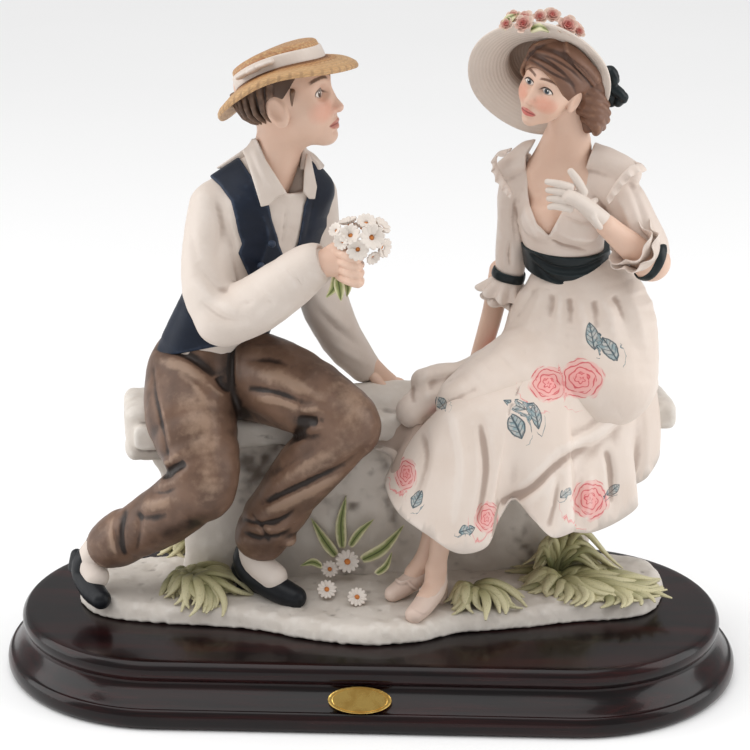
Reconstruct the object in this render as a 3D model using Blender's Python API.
# A courting couple on a garden bench, cast in one piece, standing on a moulded wooden plinth.
# Units are metres. +X runs along the plinth, +Y goes away from the viewer, +Z is up.
# The origin is the bottom centre of the plinth.
import math

import bmesh
import bpy
from mathutils import Matrix, Vector

# Plinth
plinth_length = 0.360
plinth_depth = 0.165
plinth_height = 0.030
plinth_end_segments = 24
top_inset = 0.011
bead_inset = 0.0082
bead_height = 0.0095
cove_inset = 0.0104
foot_height = 0.0095
foot_chamfer = 0.0018

# Oval brass plate on the front of the plinth
plate_width = 0.0295
plate_height = 0.0125
plate_thickness = 0.0014
plate_offset = -0.001
plate_segments = 32

# The casting is carved in figure units: group_units of them make group_height
group_height = 0.293
group_units = 293.0
seat_gap = 0.0003
voxel_units = 1.35
casting_triangles = 7900
ring_points = 14

unit = group_height / group_units


# Scene and materials

for old in list(bpy.data.objects):
    bpy.data.objects.remove(old, do_unlink=True)


def make_material(name, colour, roughness, metallic=0.0):
    material = bpy.data.materials.new(name)
    material.use_nodes = True
    shader = material.node_tree.nodes["Principled BSDF"]
    shader.inputs["Base Color"].default_value = (*colour, 1.0)
    shader.inputs["Roughness"].default_value = roughness
    shader.inputs["Metallic"].default_value = metallic
    return material


def add_object(name, bm, material):
    mesh = bpy.data.meshes.new(name)
    bm.to_mesh(mesh)
    bm.free()
    mesh.materials.append(material)
    made = bpy.data.objects.new(name, mesh)
    bpy.context.collection.objects.link(made)
    return made


# Closed forms that the casting is built up from

def smooth_path(stations, steps, closed=False):
    # Catmull-Rom interpolation of equally long tuples
    count = len(stations)
    spans = count if closed else count - 1
    result = []
    for span in range(spans):
        picks = []
        for offset in (-1, 0, 1, 2):
            index = span + offset
            index = index % count if closed else min(max(index, 0), count - 1)
            picks.append(stations[index])
        for step in range(steps):
            t = step / steps
            weights = (
                -0.5 * t + t * t - 0.5 * t ** 3,
                1.0 - 2.5 * t * t + 1.5 * t ** 3,
                0.5 * t + 2.0 * t * t - 1.5 * t ** 3,
                -0.5 * t * t + 0.5 * t ** 3,
            )
            result.append(tuple(sum(w * p[k] for w, p in zip(weights, picks)) for k in range(len(picks[0]))))
    if not closed:
        result.append(tuple(stations[-1]))
    return result


def skin_rings(bm, rings):
    # Joins closed rings of points and caps both ends
    made = [[bm.verts.new(point) for point in ring] for ring in rings]
    count = len(made[0])
    for lower, upper in zip(made, made[1:]):
        for k in range(count):
            follow = (k + 1) % count
            bm.faces.new((lower[k], lower[follow], upper[follow], upper[k]))
    bm.faces.new(list(reversed(made[0])))
    bm.faces.new(made[-1])


def limb(bm, stations, side=(0.0, 1.0, 0.0), steps=3, bunch=0.0):
    # A rounded limb through stations (x, y, z, half width along side, half depth).
    # bunch swells and pinches it by that share, as gathered cloth does.
    full = [s if len(s) == 5 else (*s, s[3]) for s in stations]
    path = smooth_path(full, steps)
    centres = [Vector(p[:3]) for p in path]
    across = Vector(side)
    frames = []
    for k, centre in enumerate(centres):
        along = (centres[min(k + 1, len(centres) - 1)] - centres[max(k - 1, 0)]).normalized()
        wide = across - along * across.dot(along)
        if wide.length < 0.05:
            wide = along.orthogonal()
        wide.normalize()
        gather = 1.0 + bunch * math.cos(math.pi * k)
        frames.append((centre, along, wide, along.cross(wide), gather * path[k][3], gather * path[k][4]))
    rings = []

    def ring(frame, scale, shift):
        centre, along, wide, deep, half_width, half_depth = frame
        reach = min(half_width, half_depth)
        middle = centre + along * (shift * reach)
        rings.append([
            middle
            + wide * (scale * half_width * math.cos(math.tau * k / ring_points))
            + deep * (scale * half_depth * math.sin(math.tau * k / ring_points))
            for k in range(ring_points)
        ])

    for angle in (80.0, 55.0, 28.0):
        ring(frames[0], math.cos(math.radians(angle)), -math.sin(math.radians(angle)))
    for frame in frames:
        ring(frame, 1.0, 0.0)
    for angle in (28.0, 55.0, 80.0):
        ring(frames[-1], math.cos(math.radians(angle)), math.sin(math.radians(angle)))
    skin_rings(bm, rings)


def ball(bm, centre, radii, turn=0.0, tilt=0.0):
    # An ellipsoid, tilted about Y and then turned about Z, in degrees
    place = Matrix.Translation(centre)
    place = place @ Matrix.Rotation(math.radians(turn), 4, "Z") @ Matrix.Rotation(math.radians(tilt), 4, "Y")
    place = place @ Matrix.Diagonal((*radii, 1.0))
    bmesh.ops.create_uvsphere(bm, u_segments=16, v_segments=10, radius=1.0, matrix=place)


def drum(bm, base, top, base_radius, top_radius):
    # A closed round drum with flat ends and softened rims
    base = Vector(base)
    top = Vector(top)
    along = (top - base).normalized()
    wide = along.orthogonal().normalized()
    deep = along.cross(wide)
    rings = []
    for share, scale in ((0.0, 1.0), (0.45, 1.0), (0.9, 1.0), (0.98, 0.97), (1.0, 0.9)):
        radius = scale * (base_radius + (top_radius - base_radius) * share)
        middle = base.lerp(top, share)
        rings.append([
            middle + wide * (radius * math.cos(math.tau * k / 32)) + deep * (radius * math.sin(math.tau * k / 32))
            for k in range(32)
        ])
    skin_rings(bm, rings)


def rounded_slab(bm, centre, size, turn, corner):
    # A slab with softened edges
    place = Matrix.Translation(centre) @ Matrix.Rotation(math.radians(turn), 4, "Z")
    made = bmesh.ops.create_cube(bm, size=1.0, matrix=place @ Matrix.Diagonal((*size, 1.0)))
    edges = list({edge for vert in made["verts"] for edge in vert.link_edges})
    bmesh.ops.bevel(bm, geom=edges, offset=corner, segments=3, profile=0.5, affect="EDGES")


def hat_brim(bm, centre, up, front, radius, thickness, dips, cone=0.0):
    # A closed disc that dips at front and back by dips[0] and at the sides by dips[1].
    # The middle stands above the rim by cone.
    up = Vector(up).normalized()
    ahead = Vector(front)
    ahead = (ahead - up * ahead.dot(up)).normalized()
    aside = up.cross(ahead)
    shares = (0.1, 0.4, 0.7, 0.92, 1.0)
    profile = [(share, 0.5) for share in shares] + [(share, -0.5) for share in reversed(shares)]
    points = 36
    rings = []
    for share, level in profile:
        edge = 0.55 if share == 1.0 else 1.0
        ring = []
        for k in range(points):
            angle = math.tau * k / points
            forward = share * math.cos(angle)
            sideways = share * math.sin(angle)
            drop = dips[0] * forward ** 2 + dips[1] * sideways ** 2
            lift = level * edge * thickness - drop + cone * (1.0 - share)
            ring.append(
                Vector(centre) + ahead * (radius * forward) + aside * (radius * sideways) + up * lift
            )
        rings.append(ring)
    skin_rings(bm, list(reversed(rings)))


# Plinth: a stadium outline carried up a moulded profile

def stadium(half_length, half_depth):
    # Straight sides with half round ends, counter-clockwise
    reach = half_length - half_depth
    points = []
    for sign in (1.0, -1.0):
        for k in range(plinth_end_segments + 1):
            angle = sign * math.pi / 2 - sign * math.pi / 2 + math.pi * (k / plinth_end_segments - 0.5)
            angle += 0.0 if sign > 0 else math.pi
            points.append((sign * reach + half_depth * math.cos(angle), half_depth * math.sin(angle)))
    return points


bead_base = plinth_height - bead_height
bead_middle = plinth_height - 0.5 * bead_height
cove_step = 0.0012
plinth_profile = (
    (foot_chamfer, 0.0),
    (0.0004, 0.18 * foot_height),
    (0.0, 0.45 * foot_height),
    (0.0004, 0.75 * foot_height),
    (0.0018, foot_height),
    (0.0018 + cove_step, foot_height + 0.0004),
    (0.55 * cove_inset, foot_height + 0.32 * (bead_base - foot_height)),
    (cove_inset - 0.0008, foot_height + 0.72 * (bead_base - foot_height)),
    (cove_inset, bead_base - 0.0004),
    (bead_inset + 0.0010, bead_base + 0.0006),
    (bead_inset, bead_middle - 0.0012),
    (bead_inset + 0.0001, bead_middle + 0.0016),
    (bead_inset + 0.0012, plinth_height - 0.0012),
    (top_inset, plinth_height),
)

bm = bmesh.new()
skin_rings(bm, [
    [(x, y, height) for x, y in stadium(0.5 * plinth_length - inset, 0.5 * plinth_depth - inset)]
    for inset, height in plinth_profile
])
plinth = add_object("wooden_plinth", bm, make_material("plinth_wood", (0.022, 0.009, 0.008), 0.22))
plinth.data.shade_smooth()
plinth.data.set_sharp_from_angle(angle=math.radians(35.0))


# Brass plate, standing off the foot moulding by the seating gap

plate_bottom_inset = 0.0004
plate_lean = math.atan2(bead_inset - plate_bottom_inset, bead_base + 0.0022 - 0.8 * foot_height)
plate_rise = foot_height + 0.0062
plate_reach = plate_bottom_inset + (plate_rise - 0.8 * foot_height) * math.tan(plate_lean)
bm = bmesh.new()
rings = []
for share, level in ((0.97, 0.0), (1.0, 0.35), (1.0, 0.75), (0.95, 1.0), (0.88, 1.0), (0.85, 0.72)):
    rings.append([
        (
            0.5 * plate_width * share * math.cos(math.tau * k / plate_segments),
            0.5 * plate_height * share * math.sin(math.tau * k / plate_segments),
            level * plate_thickness,
        )
        for k in range(plate_segments)
    ])
skin_rings(bm, rings)
plate = add_object("brass_plate", bm, make_material("brass", (0.72, 0.55, 0.26), 0.3, 1.0))
plate.rotation_euler = (math.pi / 2 - plate_lean, 0.0, 0.0)
plate.location = (plate_offset, plate_reach - 0.5 * plinth_depth - seat_gap / math.cos(plate_lean), plate_rise)


# Casting: ground

bm = bmesh.new()
ground_outline = [
    (-144, -4), (-130, -25), (-100, -32), (-60, -36), (-30, -46), (0, -52), (26, -47), (44, -37),
    (70, -31), (100, -22), (132, -14), (144, 4), (146, 30), (128, 50), (60, 54), (-20, 46), (-100, 38), (-138, 22),
]
outline = smooth_path(ground_outline, 4, closed=True)


def ground_ring(inset, height):
    ring = []
    for k, (x, y) in enumerate(outline):
        ahead = outline[(k + 1) % len(outline)]
        behind = outline[k - 1]
        along = Vector((ahead[0] - behind[0], ahead[1] - behind[1], 0.0)).normalized()
        ring.append((x - along.y * inset, y + along.x * inset, height))
    return ring


skin_rings(bm, [
    ground_ring(2.0, -8.0), ground_ring(1.0, 0.0), ground_ring(0.0, 3.0), ground_ring(1.6, 6.5), ground_ring(6.0, 9.0)
])
ball(bm, (-15.0, 12.0, 4.0), (115.0, 38.0, 10.0), turn=6.0)
ball(bm, (0.0, -18.0, 4.0), (52.0, 26.0, 8.0))

# Casting: bench slab on its carved support

bench_turn = 9.8
rounded_slab(bm, (15.5, 28.5, 88.5), (266.0, 46.0, 13.0), bench_turn, 4.0)
limb(bm, [(-74, 17, 4, 20, 13), (-76, 17, 34, 17, 11), (-82, 16, 62, 22, 13), (-84, 16, 84, 30, 16)],
     side=(1, 0.17, 0))
limb(bm, [(-60, 19, 2, 34, 15), (-62, 19, 60, 30, 14), (-64, 19, 86, 40, 17)], side=(1, 0.17, 0))
limb(bm, [(0, 27, 0, 66, 19), (2, 27, 45, 62, 17), (0, 28, 86, 70, 18)], side=(1, 0.17, 0))
limb(bm, [(66, 36, 0, 44, 16), (66, 36, 86, 46, 18)], side=(1, 0.17, 0))

# Casting: the man, trousers and torso

man_side = (0.82, 0.57, 0.0)
limb(bm, [(-80, 9, 112, 28, 22), (-76, 8, 128, 25, 19), (-70, 8, 143, 24, 17), (-62, 6, 160, 25, 17),
          (-54, 4, 180, 27, 17), (-48, 3, 195, 27, 15), (-45, 2, 206, 21, 12)], side=man_side)
limb(bm, [(-84, 2, 115, 23), (-84, -16, 102, 22), (-76, -33, 82, 16.5), (-77, -35, 72, 15.5)])
limb(bm, [(-77, -34, 74, 15), (-95, -27, 56, 15), (-117, -18, 40, 12.5), (-126, -15, 34, 10.5)], bunch=0.045)
limb(bm, [(-60, 8, 115, 22), (-36, -12, 114, 20), (-12, -28, 107, 15.5), (-8, -29, 102, 15)])
limb(bm, [(-10, -28, 100, 15), (-28, -21, 78, 15.5), (-44, -13, 54, 13.5), (-52, -11, 40, 12)], bunch=0.045)
limb(bm, [(-128, -14, 34, 7), (-136, -12, 28, 6), (-137, -14, 20, 6.5), (-131, -24, 14, 6)])
limb(bm, [(-52, -11, 38, 7.5), (-60, -9, 28, 6.5), (-56, -13, 22, 7), (-40, -21, 14, 7), (-35, -23, 13, 6)])

# Casting: the man's shirt sleeves, neck and hands

ball(bm, (-68, -12, 202), (13, 13, 12))
limb(bm, [(-70, -14, 202, 12.5), (-75, -18, 184, 13.5), (-72, -24, 164, 14), (-66, -27, 154, 14)])
limb(bm, [(-66, -27, 154, 13), (-50, -33, 163, 13.5), (-34, -39, 176, 12), (-22, -43, 184, 9.5)], bunch=0.03)
limb(bm, [(-22, -43, 184, 6), (-12, -46, 186, 8, 7), (-5, -47, 188, 6)])
limb(bm, [(-24, 13, 200, 12), (-20, 20, 176, 12.5), (-17, 26, 150, 13), (-9, 32, 127, 10.5), (1, 36, 108, 8)])
limb(bm, [(1, 36, 107, 5.5), (9, 38, 100, 6, 4.5), (18, 37, 98, 4)])
limb(bm, [(-46, 3, 206, 14, 12), (-43, 2, 216, 11), (-39, 1, 230, 9.8), (-36, 0, 240, 10.5)])
limb(bm, [(-54, 4, 223, 3), (-52, -6, 216, 4), (-46, -13, 205, 4), (-43, -15, 199, 2.5)])
limb(bm, [(-42, 11, 222, 3), (-30, 6, 214, 4), (-27, 0, 205, 4), (-28, -4, 200, 2.5)])

# Casting: the man's head, hair and straw hat

ball(bm, (-37, 0, 248), (17.5, 13.5, 17.0), turn=-17)
ball(bm, (-30, -2, 237), (11.0, 10.0, 12.0), turn=-17)
ball(bm, (-44, 1, 244), (13.0, 13.0, 14.0), turn=-17)
limb(bm, [(-21, -4, 247, 2.2), (-17.5, -5, 241, 2.6)])
ball(bm, (-41, -13, 243), (3.5, 2.0, 5.5), tilt=15)
man_hat_up = (-0.36, -0.06, 0.93)
hat_brim(bm, (-38, -2, 256), man_hat_up, (0.95, -0.3, 0.0), 36.0, 4.0, (3.5, -1.0))
drum(bm, (-39, -2, 255), (-44.3, -2.5, 270.5), 22.0, 21.0)

# Casting: the flowers the man holds

ball(bm, (-3, -46, 199), (15.5, 12.0, 10.5))
ball(bm, (4, -47, 194), (8.5, 8.0, 7.5))
limb(bm, [(-6, -46, 190, 6), (-11, -44, 174, 4)])

# Casting: the woman's torso, neck and head

woman_side = (0.95, -0.32, 0.0)
limb(bm, [(100, 24, 150, 22, 17), (94, 24, 165, 18.5, 14), (91, 19, 182, 20, 14.5), (90, 15, 197, 23, 15),
          (90, 14, 208, 22, 12), (90, 15, 214, 14, 9)], side=woman_side)
limb(bm, [(90, 15, 212, 11, 9), (89, 13, 221, 7.5), (86, 9, 236, 6.8), (83, 7, 244, 8)])
ball(bm, (81, 5, 255), (13.5, 15.5, 16.0), turn=-40, tilt=-8)
ball(bm, (76, 1, 246), (9.5, 9.5, 11.0), turn=-30, tilt=-12)
limb(bm, [(71, -7, 254, 2.0), (68, -10, 248, 2.3)])
ball(bm, (97, 17, 251), (13.0, 13.0, 14.0))
ball(bm, (102, 20, 244), (9.0, 9.0, 12.0))
hat_brim(bm, (79, 5, 258), (0.124, 0.838, 0.532), (0.15, -0.546, 0.824), 36.5, 3.6, (1.5, 1.5), 9.0)
ball(bm, (82, 17, 265), (20.0, 17.0, 18.0), tilt=-6)
limb(bm, [(68, 8, 278, 8), (82, 12, 280, 9), (96, 15, 277, 7)])
for x, y, z, size in ((66, 12, 281, 7), (75, 10, 285, 7.5), (85, 11, 286, 7), (94, 13, 281, 6.5)):
    ball(bm, (x, y, z), (size, size, size * 0.9))
limb(bm, [(103, 18, 268, 4), (110, 24, 262, 5), (115, 27, 252, 6), (116, 27, 244, 4)])

limb(bm, [(68, 21, 217, 8), (80, 17, 222, 9, 7), (98, 12, 222, 9, 7), (120, 6, 215, 8, 7)])
limb(bm, [(94.5, 24, 160, 20.5, 16), (93.6, 24, 170, 20, 15.5)], side=woman_side, steps=1)

# Casting: the woman's arms

limb(bm, [(76, 20, 213, 10), (68, 23, 208, 10.5), (63.5, 28, 188, 11), (64, 34, 166, 8.5)])
limb(bm, [(64, 35, 164, 8), (61, 37, 155, 11.5), (60, 37, 151, 11)])
limb(bm, [(62, 37, 156, 5), (57, 38, 130, 4.8), (50, 38, 106, 5)])
limb(bm, [(106, 10, 210, 9), (119, 5, 208, 11.5), (127, 4, 194, 11.5), (131, 1, 178, 12)])
limb(bm, [(130, 0, 176, 10), (116, -8, 188, 6), (104, -15, 201, 4.6), (101, -16, 204, 4.6)])
limb(bm, [(102, -15, 203, 5, 4), (94, -17, 210, 6.5, 3.5), (86, -17, 215, 5, 3), (80, -17, 214, 3)])

# Casting: the skirt over her lap

lap_side = (0.80, 0.59, 0.0)
limb(bm, [(94, 24, 164, 18.5, 14), (100, 22, 156, 30, 19), (101, 20, 146, 36, 23), (101, 18, 132, 40, 27),
          (99, 14, 114, 43, 30)], side=woman_side)
limb(bm, [(104, 26, 120, 27), (84, 12, 118, 25), (62, -4, 112, 21), (50, -12, 107, 18)])
limb(bm, [(64, 16, 116, 18), (44, 14, 108, 14), (26, 14, 104, 11), (20, 12, 98, 9)])
limb(bm, [(126, 28, 122, 15), (132, 28, 106, 11)])

# Casting: the lower skirt, hanging from the lap to a waved hem

hem_points = [
    (10, 0, 76), (7, -19, 71), (15, -34, 61), (29, -45, 55), (43, -50, 48), (56, -50, 52), (61, -42, 61),
    (69, -36, 70), (78, -42, 63), (87, -46, 55), (98, -41, 57), (98, -28, 50), (108, -20, 48), (130, -4, 56),
    (127, 10, 57), (136, 16, 64), (141, 26, 74), (130, 34, 78), (100, 34, 78), (60, 24, 78), (28, 10, 78),
]
hem = smooth_path(hem_points, 4, closed=True)
lap_middle = Vector((87.0, 8.0, 113.0))
lap_long = Vector((0.80, 0.59, 0.0))
lap_short = Vector((-0.59, 0.80, 0.0))
lap_long_units = 63.0
fold_count = 8.0
fold_units = 3.2
lap_short_units = 28.0


def skirt_ring(fall, inset=0.0, raise_by=0.0):
    ring = []
    for k, point in enumerate(hem):
        low = Vector(point)
        away = low - lap_middle
        long_share = away.dot(lap_long) / lap_long_units
        short_share = away.dot(lap_short) / lap_short_units
        size = math.hypot(long_share, short_share)
        high = lap_middle + lap_long * (lap_long_units * long_share / size)
        high += lap_short * (lap_short_units * short_share / size)
        flare = fall ** 1.25
        place = high.lerp(low, flare)
        place.z = high.z + (low.z - high.z) * fall + raise_by
        inward = Vector((lap_middle.x - place.x, lap_middle.y - place.y, 0.0)).normalized()
        fold = fold_units * fall * (1.25 - fall) * math.sin(fold_count * math.tau * k / len(hem))
        ring.append(place + inward * (inset + fold))
    return ring


def lap_ring(share, rise):
    # The rounded top of the lap, drawn in towards its middle
    return [lap_middle + (point - lap_middle) * share + Vector((0.0, 0.0, rise)) for point in skirt_ring(0.0)]


skin_rings(bm, [
    lap_ring(0.3, 17.0), lap_ring(0.62, 14.5), lap_ring(0.88, 8.5), skirt_ring(0.0), skirt_ring(0.2), skirt_ring(0.4), skirt_ring(0.6), skirt_ring(0.8), skirt_ring(0.93), skirt_ring(1.0),
    skirt_ring(1.0, 4.0, 0.5), skirt_ring(1.0, 7.0, 7.0), skirt_ring(1.0, 12.0, 12.0), skirt_ring(1.0, 20.0, 15.0)
])

limb(bm, [(16, -14, 79, 6), (19, -7, 85, 9), (24, 2, 88, 10)])

# Casting: the woman's legs and shoes

limb(bm, [(46, -18, 80, 8), (40, -20, 66, 7), (34, -22, 34, 5), (33, -23, 28, 5.5)])
limb(bm, [(34, -22, 29, 6), (32, -25, 20, 6), (26, -34, 13, 5.5), (24, -38, 12, 4.5)])
limb(bm, [(40, -8, 66, 7), (30, -10, 36, 5.5), (28, -11, 28, 6), (19, -14, 20, 5.5), (15, -16, 18, 4.5)])


# Casting: tufts of grass and small daisies on the ground

def tuft(bm, centre, blades, reach, height, start, sweep):
    for k in range(blades):
        angle = math.radians(start + sweep * k / (blades - 1))
        out = Vector((math.cos(angle), math.sin(angle), 0.0))
        far = reach * (0.82 + 0.18 * math.cos(2.3 * k))
        foot = Vector(centre)
        middle = foot + out * (0.5 * far) + Vector((0.0, 0.0, 0.35 * height))
        tip = foot + out * far + Vector((0.0, 0.0, -1.0))
        limb(bm, [(*foot, 4.0), (*middle, 3.4), (*tip, 2.6)], steps=2)


tuft(bm, (90, 0, 11), 13, 42.0, 16.0, -178.0, 196.0)
ball(bm, (90, 5, 8), (36.0, 24.0, 9.0))
ball(bm, (90, 8, 12), (18.0, 13.0, 12.0))
tuft(bm, (-88, -22, 9), 9, 24.0, 9.0, -200.0, 230.0)
ball(bm, (-88, -19, 7), (20.0, 14.0, 7.0))
tuft(bm, (-102, 14, 11), 7, 20.0, 9.0, -200.0, 220.0)
ball(bm, (-102, 15, 8), (17.0, 12.0, 7.0))
tuft(bm, (46, -29, 9), 6, 16.0, 8.0, -190.0, 200.0)
ball(bm, (46, -27, 7), (13.0, 9.0, 6.0))
for x, y, z in ((-10, 0, 20), (-20, -20, 15), (-5, -25, 13), (-21, -6, 17)):
    ball(bm, (x, y, z), (8.5, 7.5, 6.5))

for vert in bm.verts:
    vert.co = vert.co * unit
bmesh.ops.recalc_face_normals(bm, faces=bm.faces)
casting = add_object("couple_casting", bm, make_material("painted_resin", (0.78, 0.70, 0.62), 0.55))
casting.location = (0.0, 0.0, plinth_height + seat_gap)

remesh = casting.modifiers.new("one_skin", "REMESH")
remesh.mode = "VOXEL"
remesh.voxel_size = voxel_units * unit
soften = casting.modifiers.new("soften", "SMOOTH")
soften.factor = 0.5
soften.iterations = 2
bpy.context.view_layer.update()
skinned = casting.evaluated_get(bpy.context.evaluated_depsgraph_get())
skin_triangles = 2 * len(skinned.data.polygons)
thin_out = casting.modifiers.new("thin_out", "DECIMATE")
thin_out.ratio = min(1.0, casting_triangles / skin_triangles)

# The underside is cut flat, one seating gap above the plinth

bm = bmesh.new()
cutter_height = 20.0 * unit
bmesh.ops.create_cube(bm, size=1.0, matrix=Matrix.Diagonal((400.0 * unit, 200.0 * unit, cutter_height, 1.0)))
cutter = add_object("underside_cutter", bm, make_material("cutter", (0.5, 0.5, 0.5), 0.5))
cutter.location = (0.0, 0.0, plinth_height + seat_gap - 0.5 * cutter_height)
cutter.hide_render = True
cutter.display_type = "WIRE"
flatten = casting.modifiers.new("flat_underside", "BOOLEAN")
flatten.operation = "DIFFERENCE"
flatten.solver = "EXACT"
flatten.object = cutter
